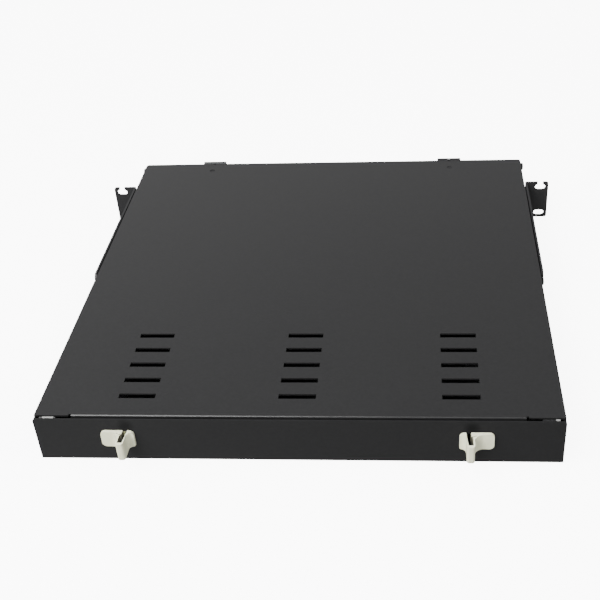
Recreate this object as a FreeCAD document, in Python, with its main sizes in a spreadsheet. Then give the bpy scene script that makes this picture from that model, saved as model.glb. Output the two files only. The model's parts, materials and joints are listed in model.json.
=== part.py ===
import FreeCAD, Part
import Sketcher

import math
import os
import re

# Fibre termination box, 1U high, for a 19 inch rack. Millimetres.
# +X is to the right when the rear wall is faced, +Y runs from the rear wall to the front panel, +Z is up.
# The origin is at the middle of the bottom of the whole object's box.
# In the formulas below a word is the name of a cell in the sheet of sizes.

SIZES = {
    # case
    "case_width": 430.0,
    "case_depth": 445.0,
    "case_height": 43.5,
    "gauge": 1.5,
    "bend": 1.5,
    "rim_corner": 2.8,
    "side_flange": 11.5,
    "flange_start": 12.0,
    "flange_gap": 2.0,
    "gusset_inner": 196.5,
    "gusset_outer": 210.0,
    "gusset_high": 12.0,
    "gusset_top": 43.0,
    "gusset_round": 1.1,
    "tool_reach": 3.0,
    # cover
    "cover_gap": 5.2,
    "cover_rest": 0.3,
    "cover_corner": 3.0,
    "lip_half": 184.0,
    "lip_drop": 18.0,
    "lip_relief": 2.0,
    "lip_bend": 1.6,
    "vent_column": 134.0,
    "vent_first": 30.0,
    "vent_pitch": 20.8,
    "vent_length": 31.0,
    "vent_width": 5.9,
    # front panel and adapters
    "panel_top": 40.4,
    "panel_flange": 34.0,
    "panel_play": 0.2,
    "panel_step": 0.5,
    "adapter_pitch": 33.4,
    "adapter_level": 21.0,
    "adapter_width": 26.0,
    "adapter_height": 9.4,
    "adapter_out": 13.0,
    "adapter_in": 14.4,
    "adapter_flange": 1.6,
    "adapter_lug": 1.6,
    "adapter_rim": 1.0,
    "port_width": 9.0,
    "port_height": 7.4,
    "port_pitch": 12.7,
    "port_depth": 9.0,
    "key_half": 1.5,
    "key_long": 4.0,
    "ferrule_radius": 1.3,
    "cap_head": 7.0,
    "cap_play": 0.1,
    "collar_high": 1.5,
    "collar_step": 0.7,
    "grip_step": 0.6,
    "clip_gauge": 0.4,
    "clip_half": 3.0,
    "clip_foot": 2.2,
    # rack brackets
    "ear_half": 241.3,
    "ear_plane": 390.5,
    "ear_gauge": 2.0,
    "ear_slot_half": 232.55,
    "ear_slot_rise": 15.875,
    "ear_slot_long": 11.0,
    "ear_slot_wide": 6.4,
    "ear_mouth": 5.8,
    "ear_corner": 2.5,
    "ear_foot": 0.3,
    "leg_gap": 1.2,
    "leg_start": 212.0,
    "leg_chamfer": 3.0,
    "boss_radius": 6.0,
    # hinges
    "hinge_place": 135.0,
    "hinge_long": 25.5,
    "hinge_out": 2.7,
    "hinge_drop": 1.2,
    "knuckle_radius": 2.4,
    "knuckle_gap": 0.3,
    "pin_radius": 1.2,
    "pin_play": 0.05,
    "pin_end": 0.4,
    "leaf_gauge": 1.2,
    "leaf_back": 20.0,
    "leaf_bottom": 28.5,
    "leaf_rivet_level": 34.0,
    "leaf_rivet_step": 7.0,
    "cover_rivet_back": 17.0,
    "cover_rivet_radius": 2.8,
    "edge_notch": 2.0,
    "cover_rivet_sink": 0.5,
    # cover latches
    "latch_place": 140.0,
    "latch_foot": 17.0,
    "latch_top": 33.7,
    "latch_reach": 18.9,
    "latch_lift": 1.5,
    "latch_play": 0.3,
    "wing_foot": 18.2,
    "wing_gauge": 2.5,
    "wide_wing": 19.0,
    "small_wing": 8.5,
    "stem_half": 3.15,
    "nose_round": 2.2,
    "slit_half": 1.95,
    "slit_step": 7.6,
    "slit_end": 16.3,
    "prong_foot": 20.0,
    "prong_top": 31.0,
    "prong_end": 7.8,
    "prong_half": 3.8,
    "prong_shift": 1.3,
    "prong_gauge": 1.8,
    "barb_bite": 0.8,
    "barb_long": 1.6,
    # cable inlets
    "inlet_height": 20.0,
    "inlet_first": 42.0,
    "inlet_pitch": 36.0,
    "inlet_radius": 9.5,
    "grommet_bore": 6.0,
    "grommet_flange": 12.0,
    "grommet_rim": 1.5,
    "grommet_back": 2.0,
    # inside
    "splice_middle": 225.0,
    "splice_long": 170.0,
    "splice_wide": 105.0,
    "splice_high": 10.0,
    "splice_wall": 1.8,
    "splice_base": 7.5,
    "splice_corner": 22.0,
    "splice_lid": 1.6,
    "entry_place": 22.0,
    "entry_half": 6.0,
    "guide_place": 50.0,
    "guide_radius": 27.0,
    "guide_bore": 25.2,
    "guide_gap": 5.0,
    "comb_half": 18.0,
    "comb_long": 62.0,
    "comb_high": 6.5,
    "groove_pitch": 5.0,
    "groove_half": 1.4,
    "pillar_place": 43.0,
    "pillar_radius": 2.0,
    "pillar_play": 0.15,
    "pillar_top": 35.0,
    "boss_clear": 4.5,
    "nut_radius": 6.0,
    "nut_seat": 1.4,
    "nut_grip": 3.2,
    "spool_place": 150.0,
    "spool_radius": 38.0,
    "spool_high": 22.0,
    "spool_wall": 2.0,
    "spool_rim": 9.0,
    "finger_gauge": 1.6,
    "finger_half": 6.0,
    "saddle_half": 9.0,
    "saddle_wide": 7.0,
    "arch_radius": 6.0,
    "arch_bore": 4.4,
    "anchor_place": 172.0,
    "anchor_start": 26.0,
    "anchor_long": 68.0,
    "anchor_edge": 8.0,
    "anchor_foot": 12.0,
    "anchor_high": 27.0,
    "anchor_screw": 1.5,
    "anchor_head": 2.8,
    "tie_slot_low": 13.0,
    "tie_slot_top": 23.0,
    "tie_slot_half": 1.4,
    "tie_slot_step": 4.5,
    "earth_place": 185.0,
    "earth_back": 150.0,
    "earth_top": 18.0,
    "stud_lift": 0.2,
    # screws and rivets
    "screw_radius": 2.0,
    "head_radius": 4.0,
    "head_high": 3.1,
    "recess_half": 2.2,
    "recess_width": 0.8,
    "recess_deep": 1.2,
    "bracket_screw_first": 18.0,
    "bracket_screw_pitch": 70.0,
    "panel_screw_back": 5.5,
    "panel_screw_top": 37.3,
    "panel_screw_low": 8.0,
    "rivet_radius": 1.6,
    "rivet_head": 2.4,
    "rivet_head_high": 0.6,
    "side_rivet_back": 25.0,
    "side_rivet_level": 35.0,
}

ADAPTERS = 12
VENT_ROWS = 5
GROOVES = 12
KNURLS = 16
FINGERS = 6
PARTS = []

doc = FreeCAD.newDocument("fibre_termination_box")
sheet = doc.addObject("Spreadsheet::Sheet", "Sizes")
for line, (alias, value) in enumerate(SIZES.items(), start=1):
    sheet.set(f"A{line}", alias)
    sheet.set(f"B{line}", str(value))
    sheet.setAlias(f"B{line}", alias)
doc.recompute()


# ---- formulas -------------------------------------------------------------------------------------------

def cells(formula):
    """The formula with every size's name turned into its cell in the sheet."""
    return re.sub(r"[a-z][a-z_]+", lambda word: "Sizes." + word.group(), str(formula))


def rear(distance):
    """Y at a distance in front of the rear wall's outer face."""
    return f"((latch_reach - case_depth - adapter_out - cap_head) / 2 + ({distance}))"


def front(distance):
    """Y at a distance beyond the front panel's outer face."""
    return rear(f"case_depth + ({distance})")


HALF = "case_width / 2"
COVER_UNDER = "(case_height - gauge)"
FLANGE_TOP = "(case_height - gauge - cover_rest)"
EAR_MIDDLE = "(case_height / 2)"
HINGE_LEVEL = "(case_height - hinge_drop)"


def read(formula):
    """The value of a formula, worked out by the sheet."""
    return float(sheet.evalExpression(cells(formula)))


# ---- building blocks ------------------------------------------------------------------------------------

def block(x_span, y_span, z_span, name="Block"):
    """A box between the low and high formulas of each span."""
    solid = doc.addObject("Part::Box", name)
    for side, axis, span in zip(("Length", "Width", "Height"), "xyz", (x_span, y_span, z_span)):
        solid.setExpression(side, cells(f"({span[1]}) - ({span[0]})"))
        solid.setExpression(f"Placement.Base.{axis}", cells(span[0]))
    return solid


def rod(radius, length, start, along="z", name="Rod"):
    """A cylinder of the given length from its start point, along an axis."""
    turns = {
        "x": FreeCAD.Rotation(FreeCAD.Vector(0, 1, 0), 90),
        "y": FreeCAD.Rotation(FreeCAD.Vector(1, 0, 0), -90),
        "z": FreeCAD.Rotation(),
    }
    solid = doc.addObject("Part::Cylinder", name)
    solid.Placement = FreeCAD.Placement(FreeCAD.Vector(), turns[along])
    solid.setExpression("Radius", cells(radius))
    solid.setExpression("Height", cells(length))
    for axis, formula in zip("xyz", start):
        solid.setExpression(f"Placement.Base.{axis}", cells(formula))
    return solid


def hexagon(across_flats, length, start, name="Hexagon"):
    """An upright six-sided prism, as on a nut or a hexagonal pillar."""
    solid = doc.addObject("Part::Prism", name)
    solid.Polygon = 6
    solid.setExpression("Circumradius", cells(f"({across_flats}) / 1.7320508"))
    solid.setExpression("Height", cells(length))
    for axis, formula in zip("xyz", start):
        solid.setExpression(f"Placement.Base.{axis}", cells(formula))
    return solid


def join(pieces, name="Joined"):
    """One solid made of several."""
    if len(pieces) == 1:
        return pieces[0]
    whole = doc.addObject("Part::MultiFuse", name)
    whole.Shapes = pieces
    whole.Refine = True
    return whole


def carve(base, tools, name="Carved"):
    """The base with the tools taken out of it."""
    result = doc.addObject("Part::Cut", name)
    result.Base = base
    result.Tool = join(tools, name + "Tools")
    result.Refine = True
    return result


def group(pieces, name="Group"):
    """Separate identical solids kept in one node."""
    result = doc.addObject("Part::Compound", name)
    result.Links = pieces
    return result


def mirror(source, name="Mirrored"):
    """The same piece on the other side of the middle plane."""
    result = doc.addObject("Part::Mirroring", name)
    result.Source = source
    result.Normal = FreeCAD.Vector(1, 0, 0)
    return result


def edges_where(base, test):
    """Numbers of the base's edges that pass the test, which is given the edge and its middle."""
    doc.recompute()
    found = []
    for number, edge in enumerate(base.Shape.Edges, start=1):
        if test(edge, edge.BoundBox.Center):
            found.append(number)
    if not found:
        raise RuntimeError(f"no edge found on {base.Name}")
    return found


def runs_along(edge, axis):
    """True for a straight edge that lies along an axis."""
    box = edge.BoundBox
    spans = {"x": box.XLength, "y": box.YLength, "z": box.ZLength}
    length = spans.pop(axis)
    return length > 0.1 and max(spans.values()) < 0.01


def near(a, b):
    """True for two lengths that are the same to within a hair."""
    return abs(a - b) < 0.05


def round_edges(base, picks, name="Rounded", kind="Part::Fillet"):
    """Rounds edges, or chamfers them. picks is a list of (edge numbers, radius)."""
    result = doc.addObject(kind, name)
    result.Base = base
    result.Edges = [(number, radius, radius) for numbers, radius in picks for number in numbers]
    return result


def keep(piece, label):
    """Names a finished piece after its node and puts it on the list to be written."""
    piece.Label = label
    PARTS.append(piece)
    return piece


def draw_polygon(sketch, points):
    """A closed outline through the points, each held by two dimensions bound to the sheet."""
    first = sketch.GeometryCount
    count = len(points)
    places = [FreeCAD.Vector(read(x), read(y), 0) for x, y in points]
    for number in range(count):
        sketch.addGeometry(Part.LineSegment(places[number], places[(number + 1) % count]))
    for number in range(count):
        after = (number + 1) % count
        sketch.addConstraint(Sketcher.Constraint("Coincident", first + number, 2, first + after, 1))
    for number, point in enumerate(points):
        for kind, formula in zip(("DistanceX", "DistanceY"), point):
            index = sketch.addConstraint(Sketcher.Constraint(kind, -1, 1, first + number, 1, read(formula)))
            sketch.setExpression(f"Constraints[{index}]", cells(formula))


def outline_on(body, name, role, lift, rectangles):
    """A sketch of rectangles, each (low x, high x, low y, high y), on one of the body's own planes."""
    sketch = body.newObject("Sketcher::SketchObject", name)
    plane = next(item for item in body.Origin.OriginFeatures if item.Role == role)
    sketch.AttachmentSupport = [(plane, "")]
    sketch.MapMode = "FlatFace"
    sketch.setExpression("AttachmentOffset.Base.z", cells(lift))
    for low_x, high_x, low_y, high_y in rectangles:
        draw_polygon(sketch, [(low_x, low_y), (high_x, low_y), (high_x, high_y), (low_x, high_y)])
    return sketch


def pad(body, sketch, length, name="Pad", backwards=False):
    """Raises a sketch into the body."""
    feature = body.newObject("PartDesign::Pad", name)
    feature.Profile = sketch
    feature.Reversed = backwards
    feature.setExpression("Length", cells(length))
    body.Tip = feature
    doc.recompute()
    return feature


def pocket(body, sketch, length, name="Pocket", backwards=False):
    """Cuts a sketch into the body and makes sure that something was cut."""
    doc.recompute()
    before = body.Shape.Volume
    feature = body.newObject("PartDesign::Pocket", name)
    feature.Profile = sketch
    feature.Reversed = backwards
    feature.setExpression("Length", cells(length))
    body.Tip = feature
    doc.recompute()
    if body.Shape.Volume > before - 0.01:
        raise RuntimeError(f"{name} cuts nothing")
    return feature


def round_body(body, test, radius, name="Round"):
    """Rounds the edges of a body that pass the test."""
    base = body.Tip
    numbers = edges_where(base, test)
    feature = body.newObject("PartDesign::Fillet", name)
    feature.Base = (base, [f"Edge{number}" for number in numbers])
    feature.setExpression("Radius", cells(radius))
    body.Tip = feature
    doc.recompute()
    return feature


def repeat(body, original, axis_role, span, count, name="Repeat"):
    """Repeats a feature along one of the body's axes."""
    feature = body.newObject("PartDesign::LinearPattern", name)
    feature.Originals = [original]
    axis = next(item for item in body.Origin.OriginFeatures if item.Role == axis_role)
    feature.Direction = (axis, [""])
    feature.setExpression("Length", cells(span))
    feature.Occurrences = count
    body.Tip = feature
    doc.recompute()
    return feature


# ---- case -----------------------------------------------------------------------------------------------

def chassis_tray():
    """Folded steel tray: floor, side walls with inward flanges, rear wall with a rim, corner gussets."""
    wall_blank = block(("-" + HALF, HALF), (rear(0), rear("gauge")), ("0", "case_height"), "RearWall")
    top_corners = edges_where(wall_blank, lambda edge, at: runs_along(edge, "y") and at.z > 1)
    pieces = [
        block(("-" + HALF, HALF), (rear(0), front(0)), ("0", "gauge"), "Floor"),
        round_edges(wall_blank, [(top_corners, read("rim_corner"))], "RearWallRounded"),
    ]
    for side in ("-1", "1"):
        wall = (f"({side}) * ({HALF} - gauge / 2) - gauge / 2", f"({side}) * ({HALF} - gauge / 2) + gauge / 2")
        flange_middle = f"({side}) * ({HALF} - side_flange / 2)"
        flange = (f"{flange_middle} - side_flange / 2", f"{flange_middle} + side_flange / 2")
        gusset_middle = f"({side}) * (gusset_inner + gusset_outer) / 2"
        gusset_half = "(gusset_outer - gusset_inner) / 2"
        gusset = (f"{gusset_middle} - {gusset_half}", f"{gusset_middle} + {gusset_half}")
        ridge = (rear("cover_gap - cover_rest - gusset_round"), "gusset_top - gusset_round")
        pieces += [
            block(wall, (rear(0), front(0)), ("0", FLANGE_TOP), "SideWall"),
            block(flange, (rear("gauge + flange_start"), front("-panel_flange - flange_gap")),
                  (f"{FLANGE_TOP} - gauge", FLANGE_TOP), "SideFlange"),
            block(gusset, (rear("gauge / 2"), rear("cover_gap - cover_rest")),
                  (f"{FLANGE_TOP} - gusset_high", "gusset_top - gusset_round"), "Gusset"),
            rod("gusset_round", "gusset_outer - gusset_inner", (gusset[0], *ridge), "x", "Ridge"),
        ]
    folded = join(pieces, "TrayFolded")
    tools = []
    for side in ("-1", "1"):
        middle = f"({side}) * latch_place"
        low = f"{middle} - ({side}) * prong_shift - prong_half - latch_play"
        high = f"{middle} - ({side}) * prong_shift + prong_half + latch_play"
        tools.append(block((low, high), (rear(-1), rear("gauge + 1")),
                           ("prong_foot - latch_play", "prong_top + latch_play"), "LatchSlot"))
        start = f"({side}) * {HALF} - tool_reach"
        for number in range(2):
            place = rear(f"inlet_first + inlet_pitch * {number}")
            tools.append(rod("inlet_radius", "2 * tool_reach", (start, place, "inlet_height"), "x", "Inlet"))
        for level in ("panel_screw_top", "panel_screw_low"):
            spot = (start, front("-panel_screw_back"), level)
            tools.append(rod("screw_radius + pin_play", "2 * tool_reach", spot, "x", "Clearance"))
        spot = (start, front("-side_rivet_back"), "side_rivet_level")
        tools.append(rod("rivet_radius", "2 * tool_reach", spot, "x", "RivetHole"))
        for place in bracket_screw_places():
            tools.append(rod("screw_radius", "2 * tool_reach", (start, place, EAR_MIDDLE), "x", "BracketHole"))
    for x, y in floor_stud_places():
        tools.append(rod("pillar_radius", "gauge + 2", (x, y, "-1"), "z", "StudHole"))
    for x, y in anchor_screw_places():
        tools.append(rod("anchor_screw", "gauge + 2", (x, y, "-1"), "z", "AnchorHole"))
    tray = carve(folded, tools, "TrayCut")
    half = read(HALF)
    bends = edges_where(tray, lambda edge, at: near(at.z, 0) and (
        (runs_along(edge, "y") and near(abs(at.x), half))
        or (runs_along(edge, "x") and edge.Length > half and at.y < 0)))
    keep(round_edges(tray, [(bends, read("bend"))], "Tray"), "chassis_tray")


def bracket_screw_places():
    """Y of the screws that hold a bracket's leg to the side wall."""
    return [rear(f"leg_start + bracket_screw_first + bracket_screw_pitch * {number}") for number in range(3)]


def floor_stud_places():
    """Where the splice pillars and the earth stud pass through the floor."""
    pillars = [("0", rear(f"splice_middle + ({side}) * pillar_place")) for side in (-1, 1)]
    return pillars + [("earth_place", rear("earth_back"))]


def anchor_screw_places():
    """The two screws of the left cable anchor, then those of the right one."""
    places = []
    for side in (-1, 1):
        for step in ("anchor_edge", "anchor_long - anchor_edge"):
            places.append((f"({side}) * (anchor_place - anchor_foot / 2)", rear(f"anchor_start + {step}")))
    return places


def top_cover():
    """Flat steel cover: three columns of slots, a folded lip behind, a half-round notch at each hinge."""
    body = doc.addObject("PartDesign::Body", "CoverPlate")
    plate = outline_on(body, "PlateOutline", "XY_Plane", COVER_UNDER,
                       [("-" + HALF, HALF, rear("cover_gap"), front(0))])
    pad(body, plate, "gauge", "Plate")
    lip = outline_on(body, "LipOutline", "XY_Plane", "case_height - gauge / 2",
                     [("-lip_half", "lip_half", rear("cover_gap"), rear("cover_gap + gauge"))])
    pad(body, lip, "lip_drop - gauge / 2", "Lip", backwards=True)
    reliefs = []
    for side in ("-1", "1"):
        middle = f"({side}) * (lip_half + lip_relief / 2)"
        reliefs.append((f"{middle} - lip_relief / 2", f"{middle} + lip_relief / 2",
                        rear("cover_gap - 1"), rear("cover_gap + lip_bend + 0.1")))
    relief = outline_on(body, "ReliefOutline", "XY_Plane", "case_height + 1", reliefs)
    pocket(body, relief, "gauge + 2", "Relief")
    columns = []
    for column in (-1, 0, 1):
        middle = f"{column} * vent_column"
        columns.append((f"{middle} - vent_length / 2", f"{middle} + vent_length / 2",
                        rear("vent_first - vent_width / 2"), rear("vent_first + vent_width / 2")))
    slots = outline_on(body, "VentOutline", "XY_Plane", "case_height + 1", columns)
    first_row = pocket(body, slots, "gauge + 2", "Vents")
    repeat(body, first_row, "Y_Axis", f"vent_pitch * {VENT_ROWS - 1}", VENT_ROWS, "VentRows")
    notches = []
    for side in ("-1", "1"):
        middle = f"({side}) * (latch_place - prong_shift)"
        reach = "(prong_half + barb_bite + latch_play)"
        notches.append((f"{middle} - {reach}", f"{middle} + {reach}", "case_height - lip_drop - 1", "prong_top + 1"))
    notch = outline_on(body, "NotchOutline", "XZ_Plane", f"-({rear('cover_gap - 1')})", notches)
    pocket(body, notch, "gauge + 2", "LatchNotch")
    half = read(HALF)
    top = read("case_height")
    round_body(body, lambda edge, at: runs_along(edge, "z") and near(abs(at.x), half) and at.y > 0,
               "cover_corner", "FrontCorners")
    round_body(body, lambda edge, at: runs_along(edge, "x") and near(at.z, top) and near(at.x, 0)
               and edge.Length > half and at.y < 0, "lip_bend", "LipBend")
    holes = []
    for side in (-1, 1):
        spot = (f"({side}) * hinge_place", front("-cover_rivet_back"), f"{COVER_UNDER} - 1")
        holes.append(rod("cover_rivet_radius", "gauge + 2", spot, "z", "RivetHole"))
        spot = (f"({side}) * hinge_place", front(0), f"{COVER_UNDER} - 1")
        holes.append(rod("edge_notch", "gauge + 2", spot, "z", "EdgeNotch"))
    keep(carve(body, holes, "CoverDrilled"), "top_cover")


def front_panel():
    """Adapter panel: a plate with openings for the adapters and a flange folded back at each end."""
    body = doc.addObject("PartDesign::Body", "PanelBlank")
    outer = f"({HALF} - gauge - panel_play)"
    low = "(gauge + panel_play)"
    plate = outline_on(body, "PanelOutline", "XZ_Plane", f"-({front(0)})", [("-" + outer, outer, low, "panel_top")])
    pad(body, plate, "gauge", "PanelPlate")
    flanges = [("-" + outer, f"-{outer} + gauge", low, "panel_top - panel_step"),
               (f"{outer} - gauge", outer, low, "panel_top - panel_step")]
    ends = outline_on(body, "FlangeOutline", "XZ_Plane", f"-({front(0)})", flanges)
    pad(body, ends, "panel_flange", "Flanges")
    windows = []
    for number in range(ADAPTERS):
        middle = adapter_place(number)
        half_x = "(adapter_width / 2 + panel_play)"
        half_z = "(adapter_height / 2 + panel_play)"
        windows.append((f"{middle} - {half_x}", f"{middle} + {half_x}",
                        f"adapter_level - {half_z}", f"adapter_level + {half_z}"))
    openings = outline_on(body, "WindowOutline", "XZ_Plane", f"-({front('-gauge - 1')})", windows)
    pocket(body, openings, "gauge + 2", "Windows")
    tools = []
    for side in ("-1", "1"):
        start = f"({side}) * ({HALF} - gauge) - tool_reach"
        for level in ("panel_screw_top", "panel_screw_low"):
            spot = (start, front("-panel_screw_back"), level)
            tools.append(rod("screw_radius", "2 * tool_reach", spot, "x", "ScrewHole"))
        spot = (start, front("-side_rivet_back"), "side_rivet_level")
        tools.append(rod("rivet_radius", "2 * tool_reach", spot, "x", "RivetHole"))
        for step in (-1, 1):
            spot = (f"({side}) * hinge_place + ({step}) * leaf_rivet_step", front("-gauge - 1"), "leaf_rivet_level")
            tools.append(rod("rivet_radius", "gauge + 2", spot, "y", "RivetHole"))
    keep(carve(body, tools, "PanelDrilled"), "front_panel")


# ---- adapters -------------------------------------------------------------------------------------------

def adapter_place(number):
    """X of one adapter, counted from the left."""
    return f"({number} - {(ADAPTERS - 1) / 2}) * adapter_pitch"


def port_places():
    """X of every port."""
    return [f"{adapter_place(number)} + ({side}) * port_pitch / 2" for number in range(ADAPTERS) for side in (-1, 1)]


def adapters():
    """Duplex adapters: a housing with a flange and two ports at each end, each with a key slot."""
    for number in range(ADAPTERS):
        middle = adapter_place(number)
        across = (f"{middle} - adapter_width / 2", f"{middle} + adapter_width / 2")
        upright = ("adapter_level - adapter_height / 2", "adapter_level + adapter_height / 2")
        flange_half_x = "(adapter_width / 2 + adapter_lug)"
        flange_half_z = "(adapter_height / 2 + adapter_rim)"
        flange_x = (f"{middle} - {flange_half_x}", f"{middle} + {flange_half_x}")
        flange_z = (f"adapter_level - {flange_half_z}", f"adapter_level + {flange_half_z}")
        housing = join([
            block(across, (front("-adapter_in"), front("adapter_out")), upright, "Housing"),
            block(flange_x, (front(0), front("adapter_flange")), flange_z, "Flange"),
        ], "AdapterBlank")
        tools = []
        for side in (-1, 1):
            port = f"{middle} + ({side}) * port_pitch / 2"
            port_x = (f"{port} - port_width / 2", f"{port} + port_width / 2")
            port_z = ("adapter_level - port_height / 2", "adapter_level + port_height / 2")
            key_x = (f"{port} - key_half", f"{port} + key_half")
            key_z = ("adapter_level", "adapter_level + adapter_height / 2 + adapter_rim + 1")
            outside = front("adapter_out + 1")
            inside = (front("-adapter_in - 1"), front("-adapter_in + port_depth"))
            tools += [
                block(port_x, (front("adapter_out - port_depth"), outside), port_z, "OuterPort"),
                block(key_x, (front("adapter_out - key_long"), outside), key_z, "OuterKey"),
                block(port_x, inside, port_z, "InnerPort"),
                block(key_x, inside, key_z, "InnerKey"),
                rod("ferrule_radius", "adapter_in + adapter_out", (port, front("-adapter_in"), "adapter_level"), "y",
                    "FerruleBore"),
            ]
        keep(carve(housing, tools, "Adapter"), f"adapter_{number + 1:02d}")


def dust_caps():
    """A cap in every port, outside and inside: a plug with a collar and a grip."""
    outer = []
    inner = []
    plug_half_x = "(port_width / 2 - cap_play)"
    plug_half_z = "(port_height / 2 - cap_play)"
    for port in port_places():
        plug_x = (f"{port} - {plug_half_x}", f"{port} + {plug_half_x}")
        plug_z = (f"adapter_level - {plug_half_z}", f"adapter_level + {plug_half_z}")
        head_x = (f"{port} - port_width / 2 - collar_step", f"{port} + port_width / 2 + collar_step")
        head_z = ("adapter_level - port_height / 2 - collar_step", "adapter_level + port_height / 2 + collar_step")
        grip_x = (f"{port} - port_width / 2 + grip_step", f"{port} + port_width / 2 - grip_step")
        grip_z = ("adapter_level - port_height / 2 + grip_step", "adapter_level + port_height / 2 - grip_step")
        outer.append(join([
            block(plug_x, (front("adapter_out - port_depth + 1"), front("adapter_out")), plug_z, "Plug"),
            block(head_x, (front("adapter_out"), front("adapter_out + collar_high")), head_z, "Collar"),
            block(grip_x, (front("adapter_out"), front("adapter_out + cap_head")), grip_z, "Grip"),
        ], "OuterCap"))
        inner.append(join([
            block(plug_x, (front("-adapter_in"), front("-adapter_in + port_depth - 1")), plug_z, "Plug"),
            block(head_x, (front("-adapter_in - collar_high"), front("-adapter_in")), head_z, "Collar"),
            block(grip_x, (front("-adapter_in - cap_head"), front("-adapter_in")), grip_z, "Grip"),
        ], "InnerCap"))
    keep(group(outer, "OuterCaps"), "outer_dust_caps")
    keep(group(inner, "InnerCaps"), "inner_dust_caps")


def adapter_clips():
    """Spring steel side clips that hold each adapter against the back of the panel."""
    clips = []
    for number in range(ADAPTERS):
        for side in (-1, 1):
            middle = f"{adapter_place(number)} + ({side}) * (adapter_width / 2 + clip_gauge / 2)"
            across = (f"{middle} - clip_gauge / 2", f"{middle} + clip_gauge / 2")
            level = ("adapter_level - clip_half", "adapter_level + clip_half")
            arm = block(across, (front("-adapter_in + 2"), front("-gauge")), level, "Arm")
            foot_middle = f"{middle} + ({side}) * (clip_foot - clip_gauge) / 2"
            foot = block((f"{foot_middle} - clip_foot / 2", f"{foot_middle} + clip_foot / 2"),
                         (front("-gauge - clip_gauge"), front("-gauge")), level, "Foot")
            clips.append(join([arm, foot], "Clip"))
    keep(group(clips, "Clips"), "adapter_clips")


# ---- rack brackets --------------------------------------------------------------------------------------

def rack_brackets():
    """Leg along the case side with spacer bosses, and an ear with one closed and one open slot."""
    leg_inner = f"({HALF} + leg_gap)"
    leg_outer = f"({HALF} + leg_gap + ear_gauge)"
    ear_back = rear("ear_plane")
    ear_face = rear("ear_plane + ear_gauge")
    tall = ("ear_foot", "case_height")
    pieces = [
        block((leg_inner, leg_outer), (rear("leg_start"), ear_face), tall, "Leg"),
        block((leg_inner, "ear_half"), (ear_back, ear_face), tall, "Ear"),
    ]
    for place in bracket_screw_places():
        pieces.append(rod("boss_radius", "leg_gap + ear_gauge / 2", (HALF, place, EAR_MIDDLE), "x", "Boss"))
    blank = join(pieces, "BracketBlank")
    tools = []
    radius = "ear_slot_wide / 2"
    straight = "(ear_slot_long / 2 - ear_slot_wide / 2)"
    for sign in ("-1", "1"):
        level = f"({EAR_MIDDLE} + ({sign}) * ear_slot_rise)"
        tools.append(block((f"ear_slot_half - {straight}", f"ear_slot_half + {straight}"),
                           (rear("ear_plane - 1"), rear("ear_plane + ear_gauge + 1")),
                           (f"{level} - {radius}", f"{level} + {radius}"), "SlotMiddle"))
        for end in ("-1", "1"):
            start = (f"ear_slot_half + ({end}) * {straight}", rear("ear_plane - 1"), level)
            tools.append(rod(radius, "ear_gauge + 2", start, "y", "SlotEnd"))
    tools.append(block(("ear_slot_half - ear_mouth / 2", "ear_slot_half + ear_mouth / 2"),
                       (rear("ear_plane - 1"), rear("ear_plane + ear_gauge + 1")),
                       (f"{EAR_MIDDLE} + ear_slot_rise", "case_height + 1"), "Mouth"))
    for place in bracket_screw_places():
        tools.append(rod("screw_radius + 0.1", "leg_gap + ear_gauge + 2", (f"{HALF} - 1", place, EAR_MIDDLE), "x",
                         "ScrewHole"))
    cut = carve(blank, tools, "BracketCut")
    ear_x = read("ear_half")
    inner = read(leg_inner)
    outer = read(leg_outer)
    thick = read("ear_gauge")
    corners = edges_where(cut, lambda edge, at: runs_along(edge, "y") and near(at.x, ear_x))
    fold = edges_where(cut, lambda edge, at: runs_along(edge, "z") and near(at.x, inner)
                       and edge.Length > 20 and at.y > 100)
    crease = edges_where(cut, lambda edge, at: runs_along(edge, "z") and near(at.x, outer) and at.y > 100)
    picks = [(corners, read("ear_corner")), (fold, 0.9 * thick), (crease, 0.5 * thick)]
    folded = round_edges(cut, picks, "BracketFolded")
    start_y = min(vertex.Y for vertex in cut.Shape.Vertexes)
    tips = edges_where(folded, lambda edge, at: runs_along(edge, "x") and near(at.y, start_y))
    right = round_edges(folded, [(tips, read("leg_chamfer"))], "BracketRight", "Part::Chamfer")
    keep(right, "rack_bracket_right")
    keep(mirror(right, "BracketLeft"), "rack_bracket_left")


def pan_screw(start, side, shank, name):
    """Pan-head screw lying along X: a domed head outside and a shank inwards, with a cross recess."""
    x, y, z = start
    shank_low = f"{x} - ({shank})" if side > 0 else x
    head_low = x if side > 0 else f"{x} - head_high"
    head = rod("head_radius", "head_high", (head_low, y, z), "x", name + "Head")
    body = rod("screw_radius", shank, (shank_low, y, z), "x", name + "Shank")
    whole = join([head, body], name + "Blank")
    recess_low = f"{x} + head_high - recess_deep" if side > 0 else f"{x} - head_high - 1"
    across = (recess_low, f"{recess_low} + recess_deep + 1")
    long_y = (f"{y} - recess_half", f"{y} + recess_half")
    long_z = (f"{z} - recess_half", f"{z} + recess_half")
    slim_y = (f"{y} - recess_width / 2", f"{y} + recess_width / 2")
    slim_z = (f"{z} - recess_width / 2", f"{z} + recess_width / 2")
    tools = [block(across, long_y, slim_z, "Recess"), block(across, slim_y, long_z, "Recess")]
    screw = carve(whole, tools, name)
    rim = edges_where(screw, lambda edge, at: near(edge.BoundBox.YLength, 2 * read("head_radius"))
                      and near(at.x, screw_face(screw, side)))
    return round_edges(screw, [(rim, 0.45 * read("head_high"))], name + "Domed")


def screw_face(screw, side):
    """X of the screw's outermost face."""
    box = screw.Shape.BoundBox
    return box.XMax if side > 0 else box.XMin


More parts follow.
